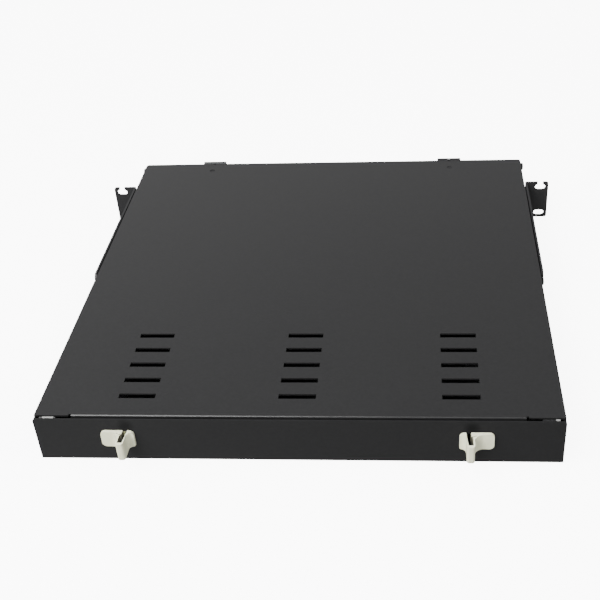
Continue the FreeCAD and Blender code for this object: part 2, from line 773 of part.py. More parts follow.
def side_fasteners():
    """Screws of the front panel's flanges and of the brackets, and the small rivets behind them."""
    panel_screws = []
    bracket_screws = []
    rivets = []
    for side in (-1, 1):
        face = f"({side}) * {HALF}"
        for level in ("panel_screw_top", "panel_screw_low"):
            panel_screws.append(pan_screw((face, front("-panel_screw_back"), level), side, "6", "PanelScrew"))
        leg_face = f"({side}) * ({HALF} + leg_gap + ear_gauge)"
        for place in bracket_screw_places():
            bracket_screws.append(pan_screw((leg_face, place, EAR_MIDDLE), side, "7", "BracketScrew"))
        low = f"{face} - 4" if side > 0 else face
        cap = face if side > 0 else f"{face} - rivet_head_high"
        spot = (front("-side_rivet_back"), "side_rivet_level")
        rivets.append(join([rod("rivet_radius", "4", (low, *spot), "x", "RivetBody"),
                            rod("rivet_head", "rivet_head_high", (cap, *spot), "x", "RivetHead")], "SideRivet"))
    keep(group(panel_screws, "PanelScrews"), "front_panel_screws")
    keep(group(bracket_screws, "BracketScrews"), "bracket_screws")
    keep(group(rivets, "SideRivets"), "side_rivets")


# ---- hinges ---------------------------------------------------------------------------------------------

def hinges():
    """Two-knuckle butt hinges: a leaf on the panel, a leaf under the cover, a pin, and rivets."""
    axis_y = front("hinge_out")
    case_rivets = []
    cover_rivets = []
    for side, word in ((-1, "left"), (1, "right")):
        middle = f"({side}) * hinge_place"
        low = f"{middle} - hinge_long / 2"
        split_low = f"{middle} - knuckle_gap / 2"
        split_high = f"{middle} + knuckle_gap / 2"
        high = f"{middle} + hinge_long / 2"
        case_half = (split_high, high) if side > 0 else (low, split_low)
        cover_half = (low, split_low) if side > 0 else (split_high, high)
        half_long = "(hinge_long - knuckle_gap) / 2"

        case_leaf = join([
            block((low, high), (front(0), front("leaf_gauge")), ("leaf_bottom", f"{HINGE_LEVEL} - 2.9"), "LeafPlate"),
            block(case_half, (front(0), front("leaf_gauge")), (f"{HINGE_LEVEL} - 4", f"{HINGE_LEVEL} - 1"),
                  "LeafNeck"),
            rod("knuckle_radius", half_long, (case_half[0], axis_y, HINGE_LEVEL), "x", "Knuckle"),
        ], "CaseLeafBlank")
        tools = [rod("pin_radius + pin_play", "hinge_long + 4", (f"{low} - 2", axis_y, HINGE_LEVEL), "x", "PinBore")]
        for step in (-1, 1):
            x = f"{middle} + ({step}) * leaf_rivet_step"
            z = "leaf_rivet_level"
            tools.append(rod("rivet_radius", "leaf_gauge + 2", (x, front("-1"), z), "y", "RivetHole"))
            case_rivets.append(join([
                rod("rivet_radius", "gauge + leaf_gauge", (x, front("-gauge"), z), "y", "RivetBody"),
                rod("2.8", "0.9", (x, front("leaf_gauge"), z), "y", "RivetHead"),
                rod("2.6", "0.8", (x, front("-gauge - 0.8"), z), "y", "RivetTail"),
            ], "CaseRivet"))
        keep(carve(case_leaf, tools, "CaseLeaf"), f"hinge_case_leaf_{word}")

        under = (f"{COVER_UNDER} - leaf_gauge", COVER_UNDER)
        cover_leaf = join([
            block((low, high), (front("-leaf_back"), front(-0.4)), under, "LeafPlate"),
            block(cover_half, (front(-1), front("hinge_out - 1.3")), under, "LeafNeck"),
            rod("knuckle_radius", half_long, (cover_half[0], axis_y, HINGE_LEVEL), "x", "Knuckle"),
        ], "CoverLeafBlank")
        rivet_y = front("-cover_rivet_back")
        hole = rod("cover_rivet_radius", "leaf_gauge + 2", (middle, rivet_y, f"{under[0]} - 1"), "z", "RivetHole")
        bore = rod("pin_radius", "hinge_long + 4", (f"{low} - 2", axis_y, HINGE_LEVEL), "x", "PinBore")
        keep(carve(cover_leaf, [hole, bore], "CoverLeaf"), f"hinge_cover_leaf_{word}")
        cover_rivets.append(join([
            rod("cover_rivet_radius", "gauge + leaf_gauge - cover_rivet_sink",
                (middle, rivet_y, under[0]), "z", "RivetBody"),
            rod("3.4", "0.9", (middle, rivet_y, f"{under[0]} - 0.9"), "z", "RivetHead"),
        ], "CoverRivet"))

        pin = rod("pin_radius", "hinge_long + 2 * pin_end", (f"{low} - pin_end", axis_y, HINGE_LEVEL), "x", "Pin")
        keep(pin, f"hinge_pin_{word}")
    keep(group(case_rivets, "CaseRivets"), "hinge_case_rivets")
    keep(group(cover_rivets, "CoverRivets"), "hinge_cover_rivets")


# ---- cover latches --------------------------------------------------------------------------------------

def latch_section(points, name):
    """An upright prism through points given as (outwards, distance in front of the rear wall)."""
    sketch = doc.addObject("Sketcher::SketchObject", name + "Outline")
    sketch.setExpression("Placement.Base.x", cells("latch_place"))
    sketch.setExpression("Placement.Base.y", cells(rear(0)))
    sketch.setExpression("Placement.Base.z", cells("latch_foot"))
    draw_polygon(sketch, [(u, f"-({v})") for u, v in points])
    prism = doc.addObject("Part::Extrusion", name)
    prism.Base = sketch
    prism.DirMode = "Custom"
    prism.Dir = FreeCAD.Vector(0, 0, 1)
    prism.Solid = True
    prism.setExpression("LengthFwd", cells("latch_top - latch_foot"))
    return prism


def latches():
    """Moulded hairpin latch: finger grip, wide and small wing outside, two barbed prongs through the wall."""
    right_prong = ("prong_half - prong_shift - prong_gauge", "prong_half - prong_shift")
    left_prong = ("-prong_half - prong_shift", "-prong_half - prong_shift + prong_gauge")
    outline = [
        ("-small_wing", "latch_lift"),
        ("-small_wing", "latch_lift + wing_gauge"),
        ("-stem_half", "latch_lift + wing_gauge"),
        ("-stem_half", "latch_reach"),
        ("stem_half", "latch_reach"),
        ("stem_half", "latch_lift + wing_gauge"),
        ("wide_wing", "latch_lift + wing_gauge"),
        ("wide_wing", "latch_lift"),
        (right_prong[0], "latch_lift"),
        (right_prong[0], "slit_step"),
        ("slit_half", "slit_step + 0.5"),
        ("slit_half", "slit_end"),
        ("-slit_half", "slit_end"),
        (left_prong[1], "latch_lift"),
    ]
    blank = latch_section(outline, "LatchBlank")
    crease = latch_section([("0.3", "6.8"), ("4.9", "4.5"), ("5.1", "5.5"), ("0.3", "8.2")], "LatchCrease")

    place = read("latch_place")
    wing = read(rear("-latch_lift - wing_gauge"))
    nose = read(rear("-latch_reach"))
    half = read("stem_half")
    tip = read("nose_round")
    picks = []
    for u, y, radius in ((-half, wing, 4.8), (half, wing, 7.8), (-half, nose, tip), (half, nose, tip)):
        picks.append((edges_where(blank, lambda edge, at: runs_along(edge, "z") and near(at.x, place + u)
                                  and near(at.y, y)), radius))
    bent = round_edges(blank, picks, "LatchBent")

    across = (rear("-latch_reach - 1"), rear(0))
    wings = block(("latch_place - small_wing", "latch_place + wide_wing"), across,
                  ("wing_foot", "latch_top"), "Wings")
    stem = block(("latch_place - stem_half", "latch_place + stem_half"), across,
                 ("latch_foot", "latch_top"), "Stem")
    face = join([wings, stem], "LatchFace")
    picks = []
    for x, z, radius in (("latch_place + wide_wing", "wing_foot", 4.0), ("latch_place + wide_wing", "latch_top", 3.5),
                         ("latch_place - small_wing", "wing_foot", 1.5),
                         ("latch_place - small_wing", "latch_top", 4.2),
                         ("latch_place + stem_half", "wing_foot", 1.1),
                         ("latch_place - stem_half", "wing_foot", 1.1)):
        picks.append((edges_where(face, lambda edge, at: runs_along(edge, "y") and near(at.x, read(x))
                                  and near(at.z, read(z))), radius))
    outside = doc.addObject("Part::Common", "LatchOutside")
    outside.Base = carve(bent, [crease], "LatchCreased")
    outside.Tool = round_edges(face, picks, "LatchFaceRounded")

    pieces = [outside]
    upright = ("prong_foot", "prong_top")
    for (low, high), outer, sign in ((right_prong, right_prong[1], "1"), (left_prong, left_prong[0], "-1")):
        pieces.append(block((f"latch_place + ({low})", f"latch_place + ({high})"),
                            (rear("-latch_lift - 0.5"), rear("prong_end")), upright, "Prong"))
        barb = f"latch_place + ({outer}) + ({sign}) * barb_bite / 2"
        pieces.append(block((f"{barb} - barb_bite / 2", f"{barb} + barb_bite / 2"),
                            (rear("prong_end - barb_long"), rear("prong_end")), upright, "Barb"))
    right = join(pieces, "LatchRight")
    keep(right, "cover_latch_right")
    keep(mirror(right, "LatchLeft"), "cover_latch_left")


# ---- inside the case ------------------------------------------------------------------------------------

def splice_trays():
    """Two stacked trays with walls, bend guides and hold-down tabs, a holder in each, and a clear cover."""
    for level, word in ((0, "lower"), (1, "upper")):
        base = f"(splice_base + splice_high * {level})"
        keep(splice_tray(base, word), f"splice_tray_{word}")
        keep(splice_holder(base), f"splice_holder_{word}")
    lid_base = "(splice_base + splice_high * 2)"
    lid = block(("-splice_long / 2", "splice_long / 2"),
                (rear("splice_middle - splice_wide / 2"), rear("splice_middle + splice_wide / 2")),
                (lid_base, f"{lid_base} + splice_lid"), "LidBlank")
    corners = edges_where(lid, lambda edge, at: runs_along(edge, "z"))
    rounded = round_edges(lid, [(corners, read("splice_corner"))], "LidRounded")
    holes = [rod("pillar_radius + pillar_play", "splice_lid + 2", (x, y, f"{lid_base} - 1"), "z", "PillarHole")
             for x, y in pillar_places()]
    keep(carve(rounded, holes, "TrayLid"), "splice_tray_cover")


def pillar_places():
    """Where the two pillars of the splice trays stand."""
    return floor_stud_places()[:2]


def splice_tray(base, word):
    """One tray: walls with four entries, two slotted bend guides, hold-down tabs and pillar bosses."""
    low_y = rear("splice_middle - splice_wide / 2")
    high_y = rear("splice_middle + splice_wide / 2")
    shell = block(("-splice_long / 2", "splice_long / 2"), (low_y, high_y), (base, f"{base} + splice_high"), "Shell")
    corners = edges_where(shell, lambda edge, at: runs_along(edge, "z"))
    outer = round_edges(shell, [(corners, read("splice_corner"))], "ShellRounded")
    hollow = block(("-splice_long / 2 + splice_wall", "splice_long / 2 - splice_wall"),
                   (rear("splice_middle - splice_wide / 2 + splice_wall"),
                    rear("splice_middle + splice_wide / 2 - splice_wall")),
                   (f"{base} + splice_wall", f"{base} + splice_high + 1"), "Hollow")
    corners = edges_where(hollow, lambda edge, at: runs_along(edge, "z"))
    inner = round_edges(hollow, [(corners, read("splice_corner - splice_wall"))], "HollowRounded")
    entries = [block((f"({side}) * splice_long / 2 - 4", f"({side}) * splice_long / 2 + 4"),
                     (rear(f"splice_middle + ({end}) * entry_place - entry_half"),
                      rear(f"splice_middle + ({end}) * entry_place + entry_half")),
                     (f"{base} + splice_wall + 1", f"{base} + splice_high + 1"), "Entry")
               for side in (-1, 1) for end in (-1, 1)]
    walls = carve(outer, [inner] + entries, "TrayWalls")
    added = [walls]
    for side in (-1, 1):
        x = f"({side}) * guide_place"
        y = rear("splice_middle")
        upright = (base, f"{base} + splice_high")
        foot = f"{base} + splice_wall - 0.2"
        ring = rod("guide_radius", "splice_high - splice_wall - 1.3", (x, y, foot), "z", "Guide")
        hole = rod("guide_bore", "splice_high", (x, y, base), "z", "GuideHole")
        gaps = [block((f"{x} - guide_radius - 3", f"{x} + guide_radius + 3"),
                      (f"{y} - guide_gap", f"{y} + guide_gap"), upright, "Gap"),
                block((f"{x} - guide_gap", f"{x} + guide_gap"),
                      (f"{y} - guide_radius - 3", f"{y} + guide_radius + 3"), upright, "Gap")]
        added.append(carve(ring, [hole] + gaps, "BendGuide"))
        for place in (-1, 1):
            edge_y = f"splice_middle + ({place}) * (splice_wide / 2 - 4)"
            added.append(block((f"{x} - guide_gap", f"{x} + guide_gap"),
                               (rear(f"{edge_y} - 3.5"), rear(f"{edge_y} + 3.5")),
                               (f"{base} + splice_high - 1.2", f"{base} + splice_high"), "Tab"))
    for x, y in pillar_places():
        added.append(rod("boss_clear", "splice_high", (x, y, base), "z", "PillarBoss"))
    whole = join(added, f"Tray{word}")
    holes = [rod("pillar_radius + pillar_play", "splice_high + 2", (x, y, f"{base} - 1"), "z", "PillarHole")
             for x, y in pillar_places()]
    return carve(whole, holes, f"SpliceTray{word}")


def splice_holder(base):
    """Soft comb with twelve grooves that grip the splice sleeves."""
    low = f"{base} + splice_wall"
    along = (rear("splice_middle - comb_long / 2"), rear("splice_middle + comb_long / 2"))
    comb = block(("-comb_half", "comb_half"), along, (low, f"{low} + comb_high"), "Comb")
    grooves = []
    for number in range(GROOVES):
        middle = rear(f"splice_middle + ({number} - {(GROOVES - 1) / 2}) * groove_pitch")
        grooves.append(block(("-comb_half - 1", "comb_half + 1"),
                             (f"{middle} - groove_half", f"{middle} + groove_half"),
                             (f"{low} + 2", f"{low} + comb_high + 1.5"), "Groove"))
    return carve(comb, grooves, "SpliceHolder")


def tray_fixings():
    """Threaded pillars that carry the splice trays, with a knurled thumb nut on each."""
    pillars = []
    nuts = []
    for x, y in pillar_places():
        collar = hexagon("8", "splice_base - gauge", (x, y, "gauge"), "Collar")
        stud = rod("pillar_radius", "pillar_top - stud_lift", (x, y, "stud_lift"), "z", "Stud")
        pillars.append(join([collar, stud], "Pillar"))
        seat = "(splice_base + splice_high * 2 + splice_lid)"
        nut = join([rod("nut_radius", "nut_grip", (x, y, f"{seat} + nut_seat"), "z", "Grip"),
                    rod("nut_radius - 2", "nut_seat", (x, y, seat), "z", "Seat")], "NutBlank")
        grooves = []
        for step in range(KNURLS):
            angle = 2 * math.pi * step / KNURLS
            spot = (f"{x} + (nut_radius + 0.2) * ({math.cos(angle):.6f})",
                    f"{y} + (nut_radius + 0.2) * ({math.sin(angle):.6f})", f"{seat} + 1")
            grooves.append(rod("0.6", "nut_grip + 2", spot, "z", "Knurl"))
        bore = rod("pillar_radius", "8", (x, y, f"{seat} - 1"), "z", "Thread")
        nuts.append(carve(nut, [bore] + grooves, "ThumbNut"))
    keep(group(pillars, "Pillars"), "tray_pillars")
    keep(group(nuts, "ThumbNuts"), "tray_thumb_nuts")


def spool_finger(x, y, angle):
    """Flat radial finger on top of a spool's ring wall, at an angle about its middle."""
    finger = doc.addObject("Part::Box", "Finger")
    turn = FreeCAD.Rotation(FreeCAD.Vector(0, 0, 1), angle)
    side = turn.multVec(FreeCAD.Vector(0, -1, 0))
    finger.Placement = FreeCAD.Placement(FreeCAD.Vector(), turn)
    finger.setExpression("Length", cells("spool_radius + spool_rim"))
    finger.setExpression("Width", cells("2 * finger_half"))
    finger.setExpression("Height", cells("finger_gauge"))
    finger.setExpression("Placement.Base.x", cells(f"{x} + finger_half * ({side.x:.6f})"))
    finger.setExpression("Placement.Base.y", cells(f"{y} + finger_half * ({side.y:.6f})"))
    finger.setExpression("Placement.Base.z", cells("gauge + spool_high - finger_gauge"))
    return finger


def fibre_spools():
    """Bend guide on the floor at each side: a ring wall, a base rim and fingers that keep the slack down."""
    for side, word in ((-1, "left"), (1, "right")):
        x = f"({side}) * spool_place"
        y = rear("splice_middle")
        rim = rod("spool_radius + spool_rim", "gauge", (x, y, "gauge"), "z", "BaseRim")
        wall = rod("spool_radius", "spool_high", (x, y, "gauge"), "z", "RingWall")
        fingers = [spool_finger(x, y, 360 * (step + 0.5) / FINGERS) for step in range(FINGERS)]
        blank = join([rim, wall] + fingers, "SpoolBlank")
        hole = rod("spool_radius - spool_wall", "spool_high + 2", (x, y, "gauge - 1"), "z", "SpoolHole")
        keep(carve(blank, [hole], "Spool"), f"fibre_spool_{word}")


def fibre_saddles():
    """Small stick-on saddles that lead the fibres over the floor."""
    saddles = []
    for x in (-150, -60, 60, 150):
        for place in (128, 322):
            y = rear(place)
            level = "gauge + 3.5"
            foot = block((f"{x} - saddle_half", f"{x} + saddle_half"), (f"{y} - saddle_wide", f"{y} + saddle_wide"),
                         ("gauge", "gauge + 1.4"), "Foot")
            arch = rod("arch_radius", "6", (x, f"{y} - 3", level), "y", "Arch")
            hollow = rod("arch_bore", "8", (x, f"{y} - 4", level), "y", "ArchHollow")
            below = block((f"{x} - arch_radius - 1", f"{x} + arch_radius + 1"), (f"{y} - 4", f"{y} + 4"),
                          ("gauge - 5", "gauge + 0.4"), "Below")
            loop = carve(arch, [hollow, below], "Loop")
            saddles.append(join([foot, loop], "Saddle"))
    keep(group(saddles, "Saddles"), "fibre_saddles")


def cable_grommets():
    """Rubber bush in each cable inlet: a neck in the wall between two flanges."""
    for side, word in ((-1, "left"), (1, "right")):
        for number, place_word in enumerate(("rear", "front")):
            y = rear(f"inlet_first + inlet_pitch * {number}")
            outside = f"({side}) * ({HALF} + grommet_rim / 2)"
            inside = f"({side}) * ({HALF} - gauge - grommet_back / 2)"
            neck = f"({side}) * ({HALF} - gauge / 2)"
            blank = join([
                rod("grommet_flange", "grommet_rim", (f"{outside} - grommet_rim / 2", y, "inlet_height"), "x",
                    "OuterFlange"),
                rod("inlet_radius", "gauge + 0.4", (f"{neck} - gauge / 2 - 0.2", y, "inlet_height"), "x", "Neck"),
                rod("grommet_flange - 1", "grommet_back", (f"{inside} - grommet_back / 2", y, "inlet_height"), "x",
                    "InnerFlange"),
            ], "GrommetBlank")
            bore = rod("grommet_bore", "12", (f"{neck} - 6", y, "inlet_height"), "x", "GrommetBore")
            keep(carve(blank, [bore], "Grommet"), f"cable_grommet_{word}_{place_word}")


def cable_anchors():
    """Steel angle beside the inlets with tongues for cable ties, and its screws."""
    screws = []
    for x, y in anchor_screw_places():
        head = rod("anchor_head", "2", (x, y, "gauge * 2"), "z", "AnchorHead")
        shank = rod("anchor_screw", "gauge * 2 - stud_lift", (x, y, "stud_lift"), "z", "AnchorShank")
        upright = ("gauge * 2 + 1", "gauge * 2 + 3")
        recess = [block((f"{x} - 1.6", f"{x} + 1.6"), (f"{y} - 0.3", f"{y} + 0.3"), upright, "Recess"),
                  block((f"{x} - 0.3", f"{x} + 0.3"), (f"{y} - 1.6", f"{y} + 1.6"), upright, "Recess")]
        screws.append(carve(join([head, shank], "AnchorScrewBlank"), recess, "AnchorScrew"))
    keep(group(screws, "AnchorScrews"), "anchor_screws")
    along = (rear("anchor_start"), rear("anchor_start + anchor_long"))
    blank = join([
        block(("anchor_place - anchor_foot", "anchor_place + gauge"), along, ("gauge", "gauge * 2"), "AnchorFoot"),
        block(("anchor_place", "anchor_place + gauge"), along, ("gauge", "anchor_high"), "AnchorWall"),
    ], "AnchorBlank")
    tools = []
    for step in ("anchor_long / 2 - 18", "anchor_long / 2", "anchor_long / 2 + 18"):
        for sign in (-1, 1):
            y = rear(f"anchor_start + {step} + ({sign}) * tie_slot_step")
            tools.append(block(("anchor_place - 1", "anchor_place + gauge + 1"),
                               (f"{y} - tie_slot_half", f"{y} + tie_slot_half"),
                               ("tie_slot_low", "tie_slot_top"), "TieSlot"))
    for x, y in anchor_screw_places()[2:]:
        tools.append(rod("anchor_screw + 0.1", "6", (x, y, "0"), "z", "AnchorHole"))
    right = carve(blank, tools, "AnchorRight")
    keep(right, "cable_anchor_right")
    keep(mirror(right, "AnchorLeft"), "cable_anchor_left")


def earth_point():
    """Threaded earth stud through the floor with two nuts and a washer between them."""
    x, y = floor_stud_places()[2]
    keep(rod("pillar_radius", "earth_top - stud_lift", (x, y, "stud_lift"), "z", "EarthStud"), "earth_stud")
    bore = ("pillar_radius", "20", (x, y, "0"))
    lower = carve(hexagon("7", "3.2", (x, y, "gauge"), "LowerNut"), [rod(*bore)], "LowerNutBored")
    washer = carve(rod("4.5", "0.8", (x, y, "gauge + 3.2"), "z", "Washer"), [rod(*bore)], "WasherBored")
    upper = carve(hexagon("7", "3.2", (x, y, "gauge + 4"), "UpperNut"), [rod(*bore)], "UpperNutBored")
    keep(group([lower, washer, upper], "EarthNuts"), "earth_nuts")


# ---- write ----------------------------------------------------------------------------------------------

def check_document():
    """Stops if any object failed or any piece is not a sound solid."""
    doc.recompute()
    for item in doc.Objects:
        if "Invalid" in item.State or "Error" in item.State:
            raise RuntimeError(f"{item.Name} ({item.Label}) failed: {item.State}")
    for piece in PARTS:
        shape = piece.Shape
        if shape.isNull() or not shape.isValid() or shape.Volume <= 0 or not shape.Solids:
            raise RuntimeError(f"{piece.Label} is not a sound solid")


def write_parts():
    """One STEP file for every node."""
    os.makedirs("parts", exist_ok=True)
    for piece in PARTS:
        piece.Shape.exportStep(f"parts/{piece.Label}.step")
    print(len(PARTS), "pieces written")


chassis_tray()
top_cover()
front_panel()
adapters()
dust_caps()
adapter_clips()
rack_brackets()
side_fasteners()
hinges()
latches()
splice_trays()
tray_fixings()
fibre_spools()
fibre_saddles()
cable_grommets()
cable_anchors()
earth_point()
check_document()
write_parts()
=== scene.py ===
import json
import math

import bpy
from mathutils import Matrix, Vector


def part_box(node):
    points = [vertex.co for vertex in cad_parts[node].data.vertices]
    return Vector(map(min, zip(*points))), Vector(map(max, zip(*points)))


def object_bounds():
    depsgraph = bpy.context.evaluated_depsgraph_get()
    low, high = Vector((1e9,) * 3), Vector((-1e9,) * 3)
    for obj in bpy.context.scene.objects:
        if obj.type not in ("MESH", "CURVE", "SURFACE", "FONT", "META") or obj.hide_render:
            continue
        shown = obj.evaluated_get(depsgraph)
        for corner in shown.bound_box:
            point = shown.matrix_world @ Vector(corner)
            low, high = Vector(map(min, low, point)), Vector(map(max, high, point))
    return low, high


# A rack-mount fibre termination box: the looks of its pieces, the camera, the lights and the floor.
# Metres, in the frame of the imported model: +Y from the rear wall to the front panel, +Z up.

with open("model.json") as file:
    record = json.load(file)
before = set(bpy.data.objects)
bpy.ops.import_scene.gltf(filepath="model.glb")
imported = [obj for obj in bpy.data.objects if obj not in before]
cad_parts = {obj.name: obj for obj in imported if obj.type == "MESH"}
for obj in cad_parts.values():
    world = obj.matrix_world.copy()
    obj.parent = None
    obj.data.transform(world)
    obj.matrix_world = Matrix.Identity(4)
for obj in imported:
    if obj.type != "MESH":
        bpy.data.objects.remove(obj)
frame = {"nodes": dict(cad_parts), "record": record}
cad_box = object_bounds()

MM = 0.001
REAR_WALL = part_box("chassis_tray")[0][1]
RECORD_SLOTS = {part["node"]: part["material_slot"] for part in frame["record"]["subparts"]}


# ---- node trees -----------------------------------------------------------------------------------------

# Nearly all of a noise's values lie between these two.
NOISE_LOW, NOISE_HIGH = 0.3, 0.7
NOISE_ROUGHNESS = 0.55


class Graph:
    """A node tree, with the nodes that both the finishes and the surroundings use."""

    def __init__(self, tree):
        self.nodes = tree.nodes
        self.links = tree.links

    def coordinates(self, output):
        return self.nodes.new("ShaderNodeTexCoord").outputs[output]

    def axes(self, vector):
        """The X, Y and Z of a vector."""
        parts = self.nodes.new("ShaderNodeSeparateXYZ")
        self.links.new(vector, parts.inputs["Vector"])
        return parts.outputs

    def math(self, operation, *values):
        """The result of an operation on values that are numbers or other nodes' outputs."""
        node = self.nodes.new("ShaderNodeMath")
        node.operation = operation
        for socket, value in zip(node.inputs, values):
            if isinstance(value, float):
                socket.default_value = value
            else:
                self.links.new(value, socket)
        return node.outputs["Value"]

    def spread(self, source, low, high, start=NOISE_LOW, end=NOISE_HIGH):
        """The source's range from start to end, mapped to low to high and held level beyond."""
        ramp = self.nodes.new("ShaderNodeMapRange")
        for socket, value in (("From Min", start), ("From Max", end), ("To Min", low), ("To Max", high)):
            ramp.inputs[socket].default_value = value
        self.links.new(source, ramp.inputs["Value"])
        return ramp.outputs["Result"]


class Finish(Graph):
    """A node material with helpers for the textures that the finishes share."""

    def __init__(self, name, colour, roughness, metallic=0.0):
        self.material = bpy.data.materials.new(name)
        self.material.use_nodes = True
        super().__init__(self.material.node_tree)
        self.shader = self.nodes["Principled BSDF"]
        self.set("Metallic", metallic)
        self.set("Roughness", roughness)
        self.set("Base Color", (*colour, 1.0))
        self.place = self.coordinates("Object")
        self.normal = None

    def set(self, socket, value):
        self.shader.inputs[socket].default_value = value

    def stretched(self, scale):
        """The place with each axis scaled."""
        mapping = self.nodes.new("ShaderNodeMapping")
        mapping.inputs["Scale"].default_value = scale
        self.links.new(self.place, mapping.inputs["Vector"])
        return mapping.outputs["Vector"]

    def noise(self, scale, detail, place=None):
        """Noise with about that many patches to the metre."""
        texture = self.nodes.new("ShaderNodeTexNoise")
        texture.inputs["Scale"].default_value = scale
        texture.inputs["Detail"].default_value = detail
        texture.inputs["Roughness"].default_value = NOISE_ROUGHNESS
        self.links.new(place or self.place, texture.inputs["Vector"])
        return texture.outputs["Fac"]

    def mottle(self, source, dark, light):
        """Base colour between two tones."""
        ramp = self.nodes.new("ShaderNodeValToRGB")
        stops = ramp.color_ramp.elements
        for stop, position, colour in zip(stops, (NOISE_LOW, NOISE_HIGH), (dark, light)):
            stop.position = position
            stop.color = (*colour, 1.0)
        self.links.new(source, ramp.inputs["Fac"])
        self.links.new(ramp.outputs["Color"], self.shader.inputs["Base Color"])

    def roughen(self, source, low, high):
        self.links.new(self.spread(source, low, high), self.shader.inputs["Roughness"])

    def bump(self, source, depth, strength):
        """Adds relief of the given depth on top of what is there."""
        node = self.nodes.new("ShaderNodeBump")
        node.inputs["Strength"].default_value = strength
        node.inputs["Distance"].default_value = depth
        self.links.new(source, node.inputs["Height"])
        if self.normal:
            self.links.new(self.normal, node.inputs["Normal"])
        self.normal = node.outputs["Normal"]
        self.links.new(self.normal, self.shader.inputs["Normal"])

    def inside(self, *spans):
        """One inside all the spans, each given as (source, middle, half width), and zero elsewhere."""
        mask = 1.0
        for span in spans:
            mask = self.math("MULTIPLY", mask, self.math("COMPARE", *span))
        return mask

    def around(self, point, reach):
        """One up to a quarter of the reach from a point, fading to nothing at the reach."""
        node = self.nodes.new("ShaderNodeVectorMath")
        node.operation = "DISTANCE"
        self.links.new(self.place, node.inputs[0])
        node.inputs[1].default_value = point
        return self.spread(node.outputs["Value"], 1.0, 0.0, start=0.25 * reach, end=reach)

    def patch(self, mask, colour):
        """Another base colour where the mask is one."""
        mix = self.nodes.new("ShaderNodeMixRGB")
        socket = self.shader.inputs["Base Color"]
        self.links.new(mask, mix.inputs["Fac"])
        self.links.new(socket.links[0].from_socket, mix.inputs["Color1"])
        mix.inputs["Color2"].default_value = (*colour, 1.0)
        self.links.new(mix.outputs["Color"], socket)


# ---- finishes -------------------------------------------------------------------------------------------

def tone(colour, factor):
    return tuple(min(1.0, part * factor) for part in colour)


def powder_coat(name, colour, low, high, gloss):
    """Satin powder coat: orange peel in two sizes, a fine mottle, and roughness drifting from low to high."""
    finish = Finish(name, colour, high)
    finish.mottle(finish.noise(420.0, 4.0), tone(colour, 0.88), tone(colour, 1.14))
    finish.roughen(finish.noise(14.0, 5.0), low, high)
    finish.bump(finish.noise(1500.0, 2.0), 0.02 * MM, 0.5)
    finish.bump(finish.noise(240.0, 2.0), 0.03 * MM, 0.3)
    finish.set("Specular IOR Level", gloss)
    return finish


def case_black():
    """The case's coat, with a painted highlight on the two corner gussets' ridges and a painted shadow on the
    rear wall over each latch's slit.
    """
    finish = powder_coat("case_powder_coat", (0.0104, 0.0104, 0.0108), low=0.33, high=0.38, gloss=0.30)
    across, along, up = finish.axes(finish.place)
    # Painted light colours: a pale highlight for the gusset ridges and a near-black shadow for the wall over
    # the latches.
    painted_highlight, painted_shadow = (0.24, 0.24, 0.235), (0.0008, 0.0008, 0.0008)
    ridge_depth = (along, REAR_WALL + 3.8 * MM, 1.3 * MM)
    ridge_height = (up, 42.6 * MM, 0.6 * MM)
    # A pale patch along each corner gusset's ridge: a painted highlight where the rounded ridge catches
    # light.
    for ridge_length in ((across, -202.8 * MM, 4.7 * MM), (across, 208.5 * MM, 1.7 * MM)):
        finish.patch(finish.inside(ridge_length, ridge_depth, ridge_height), painted_highlight)
    # A soft near-black patch on the rear wall over each latch's slit: the latch's painted shadow and its dark
    # reflection in the coat.
    shadow_height, shadow_reach = 36.5 * MM, 8.0 * MM
    for slit in (-138.5 * MM, 141.5 * MM):
        finish.patch(finish.around((slit, REAR_WALL, shadow_height), shadow_reach), painted_shadow)
    return finish


def cover_black():
    return powder_coat("cover_powder_coat", (0.0145, 0.0145, 0.0150), low=0.31, high=0.35, gloss=0.50)


def bracket_black():
    return powder_coat("bracket_powder_coat", (0.0170, 0.0170, 0.0176), low=0.33, high=0.38, gloss=0.32)


def hinge_black():
    return powder_coat("hinge_coat", (0.0100, 0.0100, 0.0104), low=0.30, high=0.42, gloss=0.30)


def black_rivet():
    return powder_coat("rivet_coat", (0.0150, 0.0150, 0.0154), low=0.32, high=0.45, gloss=0.32)


def black_screw():
    """Black oxide on steel, with a fine uneven grain."""
    finish = Finish("black_oxide", (0.02, 0.02, 0.022), 0.38, metallic=0.35)
    finish.mottle(finish.noise(900.0, 4.0), (0.010, 0.010, 0.011), (0.030, 0.030, 0.032))
    finish.roughen(finish.noise(300.0, 3.0), low=0.30, high=0.46)
    finish.bump(finish.noise(2600.0, 2.0), 0.01 * MM, 0.4)
    return finish


def moulded(name, colour, low, high, grain, depth, glow=0.0):
    """Moulded plastic with a fine spark-eroded grain; the glow is how much light passes under its skin."""
    finish = Finish(name, colour, high)
    finish.mottle(finish.noise(130.0, 4.0), tone(colour, 0.93), tone(colour, 1.05))
    finish.roughen(finish.noise(60.0, 4.0), low, high)
    finish.bump(finish.noise(grain, 3.0), depth, 0.6)
    if glow:
        finish.set("Subsurface Weight", glow)
        finish.set("Subsurface Radius", (4.0 * MM, 3.5 * MM, 2.5 * MM))
        finish.set("Subsurface Scale", 0.5)
    return finish


